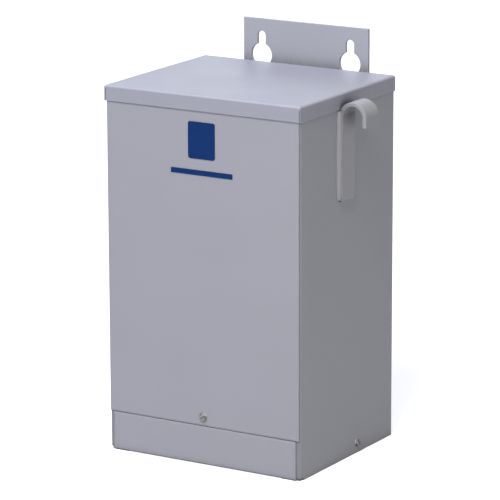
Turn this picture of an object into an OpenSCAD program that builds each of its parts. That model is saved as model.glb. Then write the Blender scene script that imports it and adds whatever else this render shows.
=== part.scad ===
// Wall or floor mounted dry-type transformer in a sheet steel case.
// Millimetres, +Z up. The origin is at the bottom centre of the whole part,
// and -Y is the front, where the cover is.

/* [Case] */
// Width of the case over its side panels
case_w = 217; // [190:0.5:260]
// Depth of the case from the face of the front cover to the back panel
case_d = 181.5; // [150:0.5:230]
// Height of the case to the top of the lid
case_h = 366.5; // [330:0.5:450]
// Thickness of the case sheet
sheet_t = 1.5; // [1.2:0.1:2]
// Outer radius of the side panels' bends at the front corners
corner_r = 2.5; // [2.2:0.1:6]
// Reach of the side panels' flanges across the front
front_flange_w = 22; // [16:1:30]
// Height of the relief notch at the foot of each front corner
notch_h = 2.5; // [2:0.5:4]
// Length of that notch along the side panel, from its front bend
notch_len = 6; // [5:0.5:10]
// Height of the bottom tray's flanges inside the side panels
tray_flange_h = 22; // [19:1:30]

/* [Front] */
// Thickness of the upper cover and of the lower panel
cover_t = 1.2; // [1:0.1:2.4]
// Distance of the cover's side edges inside the faces of the side panels
cover_margin = 1; // [0.2:0.1:2]
// Width of the strip that the lower panel leaves free at each side
panel_margin = 4.6; // [3:0.1:8]
// Height of the seam between the lower panel and the upper cover
seam_z = 39.5; // [36:0.5:46]
// Width of that seam
seam_gap = 0.6; // [0.4:0.1:1.5]
// Gap between the lower panel and the floor
panel_lift = 1.2; // [0.5:0.1:2]
// Free height above the upper cover, under the lid
cover_head_gap = 1; // [0.5:0.1:2]
// Height of the rail behind the seam
rail_h = 26; // [24:1:30]

/* [Lid] */
// Thickness of the lid sheet
lid_t = 0.9; // [0.8:0.1:2]
// Height of the lid's lip
lid_lip_h = 15.6; // [14:0.1:20]
// Outer radius of the lid's bends
lid_bend_r = 2.5; // [2.2:0.1:4]
// Gap between the lid's lip and the case
lid_gap = 0.2; // [0.15:0.05:0.4]
// Height of the slit where two lips meet at a corner
lid_slit_h = 12; // [4:0.5:13]
// Width of that slit
lid_slit_w = 0.6; // [0.4:0.1:1.2]

/* [Core] */
// Height of the underside of the encapsulated core and coils
core_floor_z = 62; // [58:1:90]

/* [Lifting hooks] */
// Width of the hook strap
hook_w = 25.4; // [18:0.1:30]
// Thickness of the hook strap
hook_t = 4; // [3:0.1:8]
// Reach of the hook from the side panel
hook_reach = 29.6; // [28:0.1:44]
// Length of the straight strap below the curl
hook_strap_len = 83; // [50:1:120]
// Length of the straight tongue below the curl
hook_tongue_len = 9; // [6:0.5:20]
// Distance of the hooks in front of the middle of the case
hook_forward = 4.9; // [0:0.1:20]
// Gap between the curl and the edge of the lid's lip
hook_lid_gap = 0.5; // [0.3:0.1:1]
// Reach of the weld beads over the side panel, from the strap's two edges
hook_weld_leg = 4.8; // [3:0.1:6]
// Free length above the strap's foot and below the lid, before the beads start
hook_weld_margin = 1; // [0.5:0.5:5]

/* [Wall bracket] */
// Width of the bracket's plate
bracket_w = 143; // [130:1:160]
// Thickness of the bracket's plate
bracket_t = 2.7; // [2:0.1:4]
// Outer radius of the bends in the bracket and the spacer
bracket_bend_r = 4.2; // [4.1:0.1:6]
// Clear depth between the back panel and the bracket's plate
bracket_reach = 15; // [10:0.5:25]
// Rise of the plate above the lid
bracket_rise = 39.8; // [36:0.1:60]
// Width of each foot of the bracket on the back panel
bracket_foot_w = 16; // [15:0.5:20]
// Height of the feet
bracket_foot_h = 60; // [50:1:90]
// Gap between the feet and the lid's lip
bracket_lid_gap = 6; // [5:0.5:12]
// Spacing of the keyholes
key_spacing = 101.6; // [90:0.1:110]
// Radius of a keyhole's round part
key_r = 11.9; // [9:0.1:13]
// Width of a keyhole's slot
key_slot_w = 9.5; // [6:0.1:11]
// Rise of the slot's end above the middle of the round part
key_rise = 19.5; // [17:0.5:24]
// Depth of the round part's middle below the plate's top edge
key_drop = 36.5; // [32:0.5:38]

/* [Lower wall spacer] */
// Height of the spacer that keeps the foot of the case off the wall
spacer_h = 40; // [30:1:60]
// Height of the spacer's lower edge
spacer_z = 30; // [10:1:60]

/* [Fasteners] */
// Radius of the small screws' hexagon, across its corners
screw_hex_r = 3.7; // [3:0.1:4.2]
// Radius of the small screws' washer face
screw_washer_r = 4.8; // [4.3:0.1:5]
// Height of the washer face
screw_washer_h = 0.7; // [0.5:0.1:1]
// Height of the small screws' hexagon above the washer face
screw_hex_h = 1.7; // [1:0.1:3]
// Radius of the small screws' shank
screw_r = 2; // [1.6:0.1:2.2]
// Length of the small screws' shank
screw_len = 9; // [7:0.5:12]
// Height of the front cover's screw above the seam
front_screw_rise = 8.9; // [7:0.1:11]
// Height of the side screws
side_screw_z = 10.2; // [8:0.1:13]
// Distance of the side screws behind the middle of the case
side_screw_back = 21.5; // [0:0.5:50]
// Spacing of the two lid screws at the back
lid_screw_spacing = 172; // [160:1:184]
// Radius of the bracket bolts' hexagon, across its corners
bolt_hex_r = 6.2; // [5:0.1:7]
// Height of the bracket bolts' heads
bolt_hex_h = 4; // [3:0.5:6]
// Radius of the bracket bolts' shank
bolt_r = 3; // [2.5:0.1:3.5]
// Length of the bracket bolts' shank
bolt_len = 16; // [10:1:24]
// Radial clearance of a shank in its hole
hole_gap = 0.1; // [0.05:0.01:0.15]

/* [Knockouts] */
// Distance of each knockout from the middle of the bottom tray
knockout_x = 52; // [40:1:60]
// Radius of the outer knockout ring
knockout_ring_r = 17.2; // [15:0.1:20]
// Radius of the inner knockout disc
knockout_disc_r = 11; // [9:0.1:13]
// Radial gap round each knockout piece
knockout_gap = 0.2; // [0.15:0.05:0.3]

/* [Badge] */
// Width of the blank badge on the cover
badge_w = 30; // [20:1:40]
// Height of the badge
badge_h = 36; // [20:1:44]
// Corner radius of the badge
badge_r = 2.5; // [1:0.5:5]
// Thickness of the badge and its bar
badge_t = 0.5; // [0.3:0.1:0.8]
// Distance from the lid's lip down to the badge
badge_drop = 10.5; // [6:0.5:30]
// Width of the plain bar under the badge
bar_w = 69; // [40:1:90]
// Height of that bar
bar_h = 5; // [2:0.5:8]
// Distance from the badge down to the bar
bar_drop = 13.5; // [6:0.5:20]

/* [Hidden] */
$fn = 64;
cut = 1;

lid_overhang = lid_gap + lid_t;
front_reach = max(lid_overhang, screw_washer_h + screw_hex_h, badge_t);
total_d = front_reach + case_d + bracket_reach + bracket_t;
half_w = case_w / 2;
front_y = front_reach - total_d / 2;
back_y = front_y + case_d;
mid_y = (front_y + back_y) / 2;
flange_y = front_y + cover_t;
inner_front_y = flange_y + sheet_t;
inner_back_y = back_y - sheet_t;
inner_half_w = half_w - sheet_t;
under_lid_z = case_h - lid_t;
lip_z = case_h - lid_lip_h;
bend_x = half_w - corner_r;
bend_y = flange_y + corner_r;

cover_w = case_w - 2 * cover_margin;
panel_half_w = half_w - panel_margin;
panel_top_z = seam_z - seam_gap / 2;
cover_z = seam_z + seam_gap / 2;
cover_h = under_lid_z - cover_head_gap - cover_z;
rail_half_w = half_w - front_flange_w;
front_screw_z = seam_z + front_screw_rise;
rail_z = front_screw_z + screw_washer_r + 2 - rail_h;

hook_r = hook_reach / 2;
hook_y = mid_y - hook_forward;
hook_rise = sqrt(pow(hook_r, 2) - pow(hook_r - lid_overhang - hook_lid_gap, 2));
hook_z = lip_z - hook_rise;
hook_foot_z = hook_z - hook_strap_len;

plate_y = back_y + bracket_reach;
bracket_top_z = case_h + bracket_rise;
key_z = bracket_top_z - key_drop;
foot_top_z = lip_z - bracket_lid_gap;
foot_z = foot_top_z - bracket_foot_h;
foot_x = bracket_w / 2 + bracket_foot_w / 2;
foot_margin = bracket_foot_w / 2;
upper_bolt_zs = [foot_z + foot_margin, foot_top_z - foot_margin];
spacer_bolt_z = spacer_z + spacer_h / 2;

side_screw_y = mid_y + side_screw_back;
lid_screw_x = lid_screw_spacing / 2;
lid_screw_z = lip_z + lid_lip_h / 2;
badge_z = lip_z - badge_drop - badge_h / 2;
bar_z = badge_z - badge_h / 2 - bar_drop;

STEEL_GREY = "#a4a6ad";
SIDE_GREY = "#9c9ea6";
LID_GREY = "#b0b2be";
ZINC = "#8f9194";
BLUE = "#17386b";
POTTING = "#4a4a48";

// A box given by its lowest and highest corners.
module block(low, high) {
    translate(low) cube(high - low);
}

// A cylinder that runs along Y from y0 to y1, with its axis at x and z.
module bar_y(x, z, r, y0, y1) {
    translate([x, y0, z]) rotate([-90, 0, 0]) cylinder(r = r, h = y1 - y0);
}

// A cylinder that runs along X from x0 to x1, with its axis at y and z.
module bar_x(y, z, r, x0, x1) {
    translate([x0, y, z]) rotate([0, 90, 0]) cylinder(r = r, h = x1 - x0);
}

// A flat rectangle with round corners, centred on the origin.
module round_rect(w, h, r) {
    square([w - 2 * r, h], center = true);
    square([w, h - 2 * r], center = true);
    for (x = [-1, 1], y = [-1, 1])
        translate([x * (w / 2 - r), y * (h / 2 - r)]) circle(r = r);
}

// A quarter of a bent sheet, in the corner towards +X and -Y of its centre.
module bend(outer_r, inner_r) {
    intersection() {
        difference() {
            circle(r = outer_r);
            circle(r = inner_r);
        }
        translate([0, -outer_r]) square(outer_r);
    }
}

// A hexagon screw along -Z, with its washer face on the plane z = 0.
module screw_shape() {
    translate([0, 0, -screw_len]) cylinder(r = screw_r, h = screw_len);
    cylinder(r = screw_washer_r, h = screw_washer_h);
    translate([0, 0, screw_washer_h]) cylinder(r = screw_hex_r, h = screw_hex_h, $fn = 6);
}

// A hexagon bolt along -Z, with the underside of its head on the plane z = 0.
module bolt_shape() {
    translate([0, 0, -bolt_len]) cylinder(r = bolt_r, h = bolt_len);
    cylinder(r = bolt_hex_r, h = bolt_hex_h, $fn = 6);
}

// ---- Case ----

module back_panel() {
    color(SIDE_GREY) difference() {
        block([-inner_half_w, inner_back_y, 0], [inner_half_w, back_y, under_lid_z]);
        for (x = [-1, 1]) {
            bar_y(x * lid_screw_x, lid_screw_z, screw_r + hole_gap, inner_back_y - cut, back_y + cut);
            for (z = concat(upper_bolt_zs, [spacer_bolt_z]))
                bar_y(x * foot_x, z, bolt_r + hole_gap, inner_back_y - cut, back_y + cut);
        }
    }
}

// The right-hand panel: the side, its front bend and the flange behind the cover.
module side_panel() {
    difference() {
        union() {
            block([inner_half_w, bend_y, 0], [half_w, back_y, under_lid_z]);
            block([rail_half_w, flange_y, 0], [bend_x, inner_front_y, under_lid_z]);
            translate([bend_x, bend_y, 0])
                linear_extrude(under_lid_z) bend(corner_r, corner_r - sheet_t);
        }
        block([panel_half_w, flange_y - cut, -cut], [half_w + cut, flange_y + notch_len, notch_h]);
        bar_x(side_screw_y, side_screw_z, screw_r + hole_gap, inner_half_w - cut, half_w + cut);
    }
}

module left_side_panel() {
    color(SIDE_GREY) mirror([1, 0, 0]) side_panel();
}

module right_side_panel() {
    color(SIDE_GREY) side_panel();
}

// The tray closes the wiring space: a floor and two flanges inside the side panels.
module bottom_tray() {
    color(SIDE_GREY) difference() {
        union() {
            block([-inner_half_w, inner_front_y, 0], [inner_half_w, inner_back_y, sheet_t]);
            for (x = [-1, 1])
                translate([x * (inner_half_w - sheet_t / 2), mid_y, tray_flange_h / 2])
                    cube([sheet_t, case_d - 4 * notch_len, tray_flange_h], center = true);
        }
        for (x = [-1, 1]) {
            translate([x * knockout_x, mid_y, -cut])
                cylinder(r = knockout_ring_r + knockout_gap, h = sheet_t + 2 * cut);
            translate([x * inner_half_w, side_screw_y, side_screw_z]) rotate([0, 90, 0])
                cylinder(r = screw_r + hole_gap, h = 3 * sheet_t, center = true);
        }
    }
}

module encapsulated_core() {
    core_d = inner_back_y - inner_front_y;
    color(POTTING) difference() {
        translate([0, (inner_front_y + inner_back_y) / 2, core_floor_z])
            linear_extrude(under_lid_z - core_floor_z)
                round_rect(2 * inner_half_w, core_d, corner_r);
        for (x = [-1, 1]) {
            bar_y(x * lid_screw_x, lid_screw_z, screw_r + hole_gap, back_y - screw_len, back_y);
            for (z = upper_bolt_zs)
                bar_y(x * foot_x, z, bolt_r + hole_gap, back_y - bolt_len, back_y);
        }
    }
}

// ---- Front ----

module front_cover() {
    color(STEEL_GREY) difference() {
        translate([0, flange_y, cover_z + cover_h / 2]) rotate([90, 0, 0])
            linear_extrude(cover_t) square([cover_w, cover_h], center = true);
        bar_y(0, front_screw_z, screw_r + hole_gap, front_y - cut, flange_y + cut);
    }
}

module lower_front_panel() {
    color(STEEL_GREY) block([-panel_half_w, front_y, panel_lift], [panel_half_w, flange_y, panel_top_z]);
}

// The rail stands between the side panels' flanges and takes the cover's screw.
module front_rail() {
    color(SIDE_GREY) difference() {
        block([-rail_half_w, flange_y, rail_z], [rail_half_w, inner_front_y, rail_z + rail_h]);
        bar_y(0, front_screw_z, screw_r + hole_gap, flange_y - cut, inner_front_y + cut);
    }
}

module front_badge() {
    color(BLUE) translate([0, front_y, badge_z]) rotate([90, 0, 0])
        linear_extrude(badge_t) round_rect(badge_w, badge_h, badge_r);
}

module front_badge_bar() {
    color(BLUE) translate([0, front_y, bar_z]) rotate([90, 0, 0])
        linear_extrude(badge_t) square([bar_w, bar_h], center = true);
}

// ---- Lid ----

// The lid's outline in one direction: a rectangle of half width w with its upper corners rounded.
module lid_profile(w, top, r) {
    translate([-w, 0]) square([2 * w, top - r]);
    translate([r - w, 0]) square([2 * (w - r), top]);
    for (x = [-1, 1]) translate([x * (w - r), top - r]) circle(r = r);
}

// A block with its four upper edges rounded and mitred at the corners, as bent sheet is.
module lid_block(half_x, half_y, top, r) {
    intersection() {
        translate([0, half_y, 0]) rotate([90, 0, 0])
            linear_extrude(2 * half_y) lid_profile(half_x, top, r);
        rotate([90, 0, 90])
            translate([0, 0, -half_x]) linear_extrude(2 * half_x) lid_profile(half_y, top, r);
    }
}

module lid() {
    outer_x = half_w + lid_overhang;
    outer_y = case_d / 2 + lid_overhang;
    color(LID_GREY) translate([0, mid_y, lip_z]) difference() {
        lid_block(outer_x, outer_y, lid_lip_h, lid_bend_r);
        translate([0, 0, -cut])
            lid_block(outer_x - lid_t, outer_y - lid_t, lid_lip_h - lid_t + cut, lid_bend_r - lid_t);
        for (x = [-1, 1], y = [-1, 1])
            translate([x * (outer_x - lid_t - lid_slit_w / 2), y * (outer_y - lid_t / 2), 0])
                cube([lid_slit_w, 2 * lid_t, 2 * lid_slit_h], center = true);
        for (x = [-1, 1])
            bar_y(x * lid_screw_x, lid_lip_h / 2, screw_r + hole_gap, 0, outer_y + cut);
    }
}

// ---- Lifting hooks ----

// The right-hand hook in the plane of its curl: x is the distance from the side panel.
module hook_profile() {
    translate([0, -hook_strap_len]) square([hook_t, hook_strap_len]);
    translate([hook_reach - hook_t, -hook_tongue_len]) square([hook_t, hook_tongue_len]);
    intersection() {
        translate([hook_r, 0]) difference() {
            circle(r = hook_r);
            circle(r = hook_r - hook_t);
        }
        square([hook_reach, hook_r]);
    }
}

module hook() {
    translate([half_w, hook_y + hook_w / 2, hook_z]) rotate([90, 0, 0])
        linear_extrude(hook_w) hook_profile();
}

// The beads that fill the corners between the strap's two edges and the side panel.
module hook_weld() {
    low_z = hook_foot_z + hook_weld_margin;
    for (y = [-1, 1])
        translate([half_w, hook_y + y * hook_w / 2, low_z])
            linear_extrude(lip_z - hook_weld_margin - low_z)
                polygon([[0, 0], [hook_t, 0], [0, y * hook_weld_leg]]);
}

module left_lifting_hook() {
    color(STEEL_GREY) mirror([1, 0, 0]) hook();
}

module right_lifting_hook() {
    color(STEEL_GREY) hook();
}

module left_hook_weld() {
    color(SIDE_GREY) mirror([1, 0, 0]) hook_weld();
}

module right_hook_weld() {
    color(SIDE_GREY) hook_weld();
}

// ---- Wall bracket and spacer ----

// Half of a hat section seen from above: half the plate, a bend, a web, a bend and a foot.
module hat_half() {
    half = bracket_w / 2;
    inner_r = bracket_bend_r - bracket_t;
    web_x = half - bracket_t;
    foot_bend_x = web_x + bracket_bend_r;
    outer_y = plate_y + bracket_t;
    translate([0, plate_y]) square([half - bracket_bend_r, bracket_t]);
    translate([half - bracket_bend_r, outer_y - bracket_bend_r])
        mirror([0, 1, 0]) bend(bracket_bend_r, inner_r);
    translate([web_x, back_y + bracket_bend_r])
        square([bracket_t, outer_y - back_y - 2 * bracket_bend_r]);
    translate([foot_bend_x, back_y + bracket_bend_r])
        mirror([1, 0, 0]) bend(bracket_bend_r, inner_r);
    translate([foot_bend_x, back_y]) square([half + bracket_foot_w - foot_bend_x, bracket_t]);
}

// A hat section from z0 to z1.
module hat_section(z0, z1) {
    translate([0, 0, z0]) linear_extrude(z1 - z0) {
        hat_half();
        mirror([1, 0, 0]) hat_half();
    }
}

// A keyhole along Y: a round part and the slot above it.
module keyhole(x) {
    slot_r = key_slot_w / 2;
    through = bracket_t + 2 * cut;
    bar_y(x, key_z, key_r, plate_y - cut, plate_y - cut + through);
    bar_y(x, key_z + key_rise, slot_r, plate_y - cut, plate_y - cut + through);
    translate([x - slot_r, plate_y - cut, key_z]) cube([key_slot_w, through, key_rise]);
}

module wall_bracket() {
    color(STEEL_GREY) difference() {
        union() {
            hat_section(foot_z, foot_top_z);
            block(
                [-bracket_w / 2, plate_y, foot_top_z],
                [bracket_w / 2, plate_y + bracket_t, bracket_top_z]
            );
        }
        for (x = [-1, 1]) {
            keyhole(x * key_spacing / 2);
            for (z = upper_bolt_zs)
                bar_y(x * foot_x, z, bolt_r + hole_gap, back_y - cut, back_y + bracket_t + cut);
        }
    }
}

module lower_wall_spacer() {
    color(STEEL_GREY) difference() {
        hat_section(spacer_z, spacer_z + spacer_h);
        for (x = [-1, 1])
            bar_y(x * foot_x, spacer_bolt_z, bolt_r + hole_gap, back_y - cut, back_y + bracket_t + cut);
    }
}

// ---- Fasteners ----

// A bracket bolt through a foot and the back panel.
module foot_bolt(x, z) {
    translate([x, back_y + bracket_t, z]) rotate([-90, 0, 0]) bolt_shape();
}

module left_bracket_bolts() {
    color(ZINC) for (z = upper_bolt_zs) foot_bolt(-foot_x, z);
}

module right_bracket_bolts() {
    color(ZINC) for (z = upper_bolt_zs) foot_bolt(foot_x, z);
}

module left_spacer_bolt() {
    color(ZINC) foot_bolt(-foot_x, spacer_bolt_z);
}

module right_spacer_bolt() {
    color(ZINC) foot_bolt(foot_x, spacer_bolt_z);
}

module front_cover_screw() {
    color(ZINC) translate([0, front_y, front_screw_z]) rotate([90, 0, 0]) screw_shape();
}

module side_screw() {
    translate([half_w, side_screw_y, side_screw_z]) rotate([0, 90, 0]) screw_shape();
}

module left_side_screw() {
    color(ZINC) mirror([1, 0, 0]) side_screw();
}

module right_side_screw() {
    color(ZINC) side_screw();
}

module lid_screw(x) {
    translate([x, back_y + lid_overhang, lid_screw_z]) rotate([-90, 0, 0]) screw_shape();
}

module left_lid_screw() {
    color(ZINC) lid_screw(-lid_screw_x);
}

module right_lid_screw() {
    color(ZINC) lid_screw(lid_screw_x);
}

// ---- Knockouts in the bottom tray ----

module knockout_ring(x) {
    translate([x, mid_y, 0]) difference() {
        cylinder(r = knockout_ring_r, h = sheet_t);
        translate([0, 0, -cut]) cylinder(r = knockout_disc_r + knockout_gap, h = sheet_t + 2 * cut);
    }
}

module knockout_disc(x) {
    translate([x, mid_y, 0]) cylinder(r = knockout_disc_r, h = sheet_t);
}

module left_knockout_ring() {
    color(SIDE_GREY) knockout_ring(-knockout_x);
}

module right_knockout_ring() {
    color(SIDE_GREY) knockout_ring(knockout_x);
}

module left_knockout_disc() {
    color(SIDE_GREY) knockout_disc(-knockout_x);
}

module right_knockout_disc() {
    color(SIDE_GREY) knockout_disc(knockout_x);
}

back_panel();
left_side_panel();
right_side_panel();
front_cover();
lower_front_panel();
front_rail();
bottom_tray();
lid();
encapsulated_core();
left_lifting_hook();
right_lifting_hook();
left_hook_weld();
right_hook_weld();
wall_bracket();
lower_wall_spacer();
left_bracket_bolts();
right_bracket_bolts();
left_spacer_bolt();
right_spacer_bolt();
front_cover_screw();
left_side_screw();
right_side_screw();
left_lid_screw();
right_lid_screw();
left_knockout_ring();
right_knockout_ring();
left_knockout_disc();
right_knockout_disc();
front_badge();
front_badge_bar();
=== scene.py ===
"""Looks of a dry-type transformer in a powder-coated sheet steel case.

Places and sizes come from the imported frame, in metres: -Y is the front, +X the
right-hand side. Each sub-assembly is a class that builds its own meshes and dresses
them, and each finish is a small class that wires its own material.
"""

import logging
import math
from collections.abc import Iterable, Mapping, Sequence
from dataclasses import dataclass, field, fields, replace
from enum import Enum
from functools import reduce
from typing import Any

import bmesh
import bpy
from mathutils import Matrix, Vector

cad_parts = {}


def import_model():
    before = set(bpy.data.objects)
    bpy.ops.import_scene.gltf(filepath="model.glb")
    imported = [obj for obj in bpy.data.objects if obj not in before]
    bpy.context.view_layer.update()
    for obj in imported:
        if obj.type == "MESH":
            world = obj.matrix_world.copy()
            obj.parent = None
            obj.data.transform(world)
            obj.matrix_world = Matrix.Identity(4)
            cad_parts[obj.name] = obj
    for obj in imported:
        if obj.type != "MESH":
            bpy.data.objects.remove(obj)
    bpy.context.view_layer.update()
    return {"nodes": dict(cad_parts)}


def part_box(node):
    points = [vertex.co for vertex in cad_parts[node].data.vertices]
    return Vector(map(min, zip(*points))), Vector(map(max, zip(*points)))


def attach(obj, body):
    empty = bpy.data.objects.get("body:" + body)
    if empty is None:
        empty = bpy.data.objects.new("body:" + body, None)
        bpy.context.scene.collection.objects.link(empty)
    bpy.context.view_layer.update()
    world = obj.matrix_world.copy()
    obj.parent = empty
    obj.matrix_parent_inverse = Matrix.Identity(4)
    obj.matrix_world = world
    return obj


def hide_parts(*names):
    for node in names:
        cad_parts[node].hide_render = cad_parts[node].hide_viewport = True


MM = 0.001
MERGE_GAP = 0.002 * MM
SLIVER = 0.001 * MM
FLAT_ANGLE = math.radians(0.5)
EDGE_ANGLE = math.radians(35)
Colour = tuple[float, float, float, float]
Point = tuple[float, float, float]
Mesh = bpy.types.Mesh
Object = bpy.types.Object
Socket = bpy.types.NodeSocket
Sockets = Mapping[str, bpy.types.NodeSocket]
Nodes = Mapping[str, bpy.types.Object]
log = logging.getLogger("transformer")


class Slot(str, Enum):
    """Material slot names, kept with each finish."""

    CASE = "case_paint"
    LID = "lid_paint"
    HOOK = "hook_paint"
    BRACKET = "bracket_paint"
    ZINC = "zinc"
    POTTING = "potting"
    BADGE = "badge_blue"


class Side(Enum):
    """The two sides of the case, with the sign of their X."""

    LEFT = -1
    RIGHT = 1

    @property
    def word(self) -> str:
        """The side's name as the nodes spell it."""
        return self.name.lower()


def colour(red: float, green: float, blue: float) -> Colour:
    """Turn a colour as it is seen on a screen into the linear one a shader takes.

    Args:
        red: Red, from 0 to 255.
        green: Green, from 0 to 255.
        blue: Blue, from 0 to 255.

    Returns:
        The linear colour with full alpha.
    """

    def linear(value: float) -> float:
        """Linear share of one channel."""
        share = value / 255
        return share / 12.92 if share <= 0.04045 else ((share + 0.055) / 1.055) ** 2.4

    return (linear(red), linear(green), linear(blue), 1.0)


# ---- Wiring of node trees ----


def label(name: str) -> str:
    """What a tree calls the input for a value with this name."""
    return name.replace("_", " ").title()


class Wiring:
    """Adds nodes to one tree and joins them."""

    def __init__(self, tree: bpy.types.NodeTree) -> None:
        """Keep the tree that the nodes go into."""
        self.tree = tree

    def feed(self, socket: Socket, value: Any) -> None:
        """Join a socket to another one, or give it a constant.

        Args:
            socket: The input to fill.
            value: An output socket of the same tree, or a plain value.
        """
        if isinstance(value, Socket):
            self.tree.links.new(value, socket)
        else:
            socket.default_value = value

    def add(
        self, kind: str, inputs: Mapping[str | int, Any] | None = None, **settings: Any
    ) -> bpy.types.Node:
        """Add a node with its settings made and its inputs filled.

        Args:
            kind: The node's type name.
            inputs: Values or output sockets, by the input's name or place.
            **settings: The node's own settings.

        Returns:
            The new node.
        """
        node = self.tree.nodes.new(kind)
        for name, value in settings.items():
            setattr(node, name, value)
        for key, value in (inputs or {}).items():
            self.feed(node.inputs[key], value)
        return node

    def math(self, operation: str, first: Any, second: Any = 0.0) -> Socket:
        """Join two values or sockets by the named operation of a Math node."""
        return self.add("ShaderNodeMath", {0: first, 1: second}, operation=operation).outputs[0]

    def product(self, *factors: Any) -> Socket:
        """Multiply two or more values or sockets."""
        return reduce(lambda first, second: self.math("MULTIPLY", first, second), factors)

    def span(self, value: Any, low: float, high: float, first: float = 0.0, last: float = 1.0) -> Socket:
        """Map low to high smoothly onto first to last, held at both ends."""
        inputs = {0: value, 1: low, 2: high, 3: first, 4: last}
        return self.add("ShaderNodeMapRange", inputs, interpolation_type="SMOOTHSTEP").outputs[0]

    def noise(self, vector: Any, size: Any, detail: float) -> Socket:
        """Add soft noise with lumps of a given size.

        Args:
            vector: Where the noise is read.
            size: Size of a lump in metres, or its socket.
            detail: How many finer layers lie on it.

        Returns:
            The noise's value, about 0.5 on average.
        """
        scale = self.math("DIVIDE", 1.0, size)
        inputs = {"Vector": vector, "Scale": scale, "Detail": detail, "Roughness": 0.55}
        return self.add("ShaderNodeTexNoise", inputs, noise_dimensions="3D").outputs["Fac"]

    def mix(self, share: Any, first: Any, second: Any) -> Socket:
        """Mix two colours, by the share of the second one."""
        return self.add("ShaderNodeMix", {0: share, 6: first, 7: second}, data_type="RGBA").outputs[2]

    def bump(self, height: Any, distance: float, normal: Any = None) -> Socket:
        """Raise a relief over a surface.

        Args:
            height: The relief's socket.
            distance: How high it stands, in metres.
            normal: Normals that it starts from, or None for the surface's own.

        Returns:
            The new normals' socket.
        """
        inputs = {"Height": height, "Distance": distance}
        if normal is not None:
            inputs["Normal"] = normal
        return self.add("ShaderNodeBump", inputs).outputs[0]

    def gather(self, kind: str, name: str | int, shapes: Iterable[Socket], **settings: Any) -> Socket:
        """Add a geometry node that takes several shapes into one of its inputs.

        Args:
            kind: The node's type name.
            name: The input's name or place.
            shapes: The shapes, in order.
            **settings: The node's own settings.

        Returns:
            The node's geometry.
        """
        node = self.add(kind, **settings)
        for shape in shapes:
            self.feed(node.inputs[name], shape)
        return node.outputs[0]

    def dressed(self, shape: Any, material: Any) -> Socket:
        """End a geometry tree: make its instances real and give them their material."""
        real = self.add("GeometryNodeRealizeInstances", {0: shape}).outputs[0]
        return self.add("GeometryNodeSetMaterial", {"Geometry": real, "Material": material}).outputs[0]

    def facing(self, axis: str) -> Socket:
        """One part of the face's own normal: X, Y or Z."""
        face = self.add("ShaderNodeNewGeometry").outputs["Normal"]
        return self.add("ShaderNodeSeparateXYZ", {0: face}).outputs[axis]


@dataclass(frozen=True)
class Pin:
    """One input or output of a node group: its name, kind and first value."""

    name: str
    kind: str = "NodeSocketFloat"
    value: Any = None


AT = Pin("Vector", "NodeSocketVector")
AMOUNT = Pin("Amount")
MASK = Pin("Mask")
SHAPE = Pin("Geometry", "NodeSocketGeometry")
MATERIAL = Pin("Material", "NodeSocketMaterial")
SEED = Pin("Seed", "NodeSocketInt")


class Group:
    """A node group that is built once and used in several trees."""

    title = "group"
    kind = "ShaderNodeTree"
    pins_in: Sequence[Pin] = ()
    pins_out: Sequence[Pin] = ()

    @classmethod
    def wire(cls, w: Wiring, pins: Sockets) -> dict[str, Any]:
        """Build the group's inside; each group writes its own."""
        raise NotImplementedError

    @classmethod
    def tree(cls) -> bpy.types.NodeTree:
        """Build the group's tree at its first use.

        Returns:
            The one tree that every use shares.
        """
        found = bpy.data.node_groups.get(cls.title)
        if found is not None:
            return found
        tree = bpy.data.node_groups.new(cls.title, cls.kind)
        for pin in cls.pins_in:
            socket = tree.interface.new_socket(pin.name, in_out="INPUT", socket_type=pin.kind)
            if pin.value is not None:
                socket.default_value = pin.value
        for pin in cls.pins_out:
            tree.interface.new_socket(pin.name, in_out="OUTPUT", socket_type=pin.kind)
        w = Wiring(tree)
        source = w.add("NodeGroupInput")
        sink = w.add("NodeGroupOutput")
        fed = cls.wire(w, {pin.name: source.outputs[pin.name] for pin in cls.pins_in})
        for name, value in fed.items():
            w.feed(sink.inputs[name], value)
        return tree

    @classmethod
    def use(cls, w: Wiring, vector: Socket, **values: Any) -> Sockets:
        """Put the group into a material's tree, fill its inputs and return its outputs."""
        inputs = {"Vector": vector} | {label(name): value for name, value in values.items()}
        return w.add("ShaderNodeGroup", inputs, node_tree=cls.tree()).outputs


class CoatRelief(Group):
    """Orange peel of a baked coat and the slow waves of the sheet under it."""

    title = "coat_relief"
    fine_size = 0.31
    fine_share = 0.35
    pins_in = (AT, Pin("Peel Size"), Pin("Wave Size", value=0.12))
    pins_out = (Pin("Peel"), Pin("Wave"))

    @classmethod
    def wire(cls, w: Wiring, pins: Sockets) -> dict[str, Any]:
        """Build the two reliefs.

        Args:
            w: Wiring of the group's tree.
            pins: The group's inputs by name.

        Returns:
            What each output is fed with.
        """
        broad = w.noise(pins["Vector"], pins["Peel Size"], 1.5)
        fine = w.noise(pins["Vector"], w.product(pins["Peel Size"], cls.fine_size), 1.0)
        peel = w.math("ADD", broad, w.product(fine, cls.fine_share))
        return {"Peel": peel, "Wave": w.noise(pins["Vector"], pins["Wave Size"], 1.0)}


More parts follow.
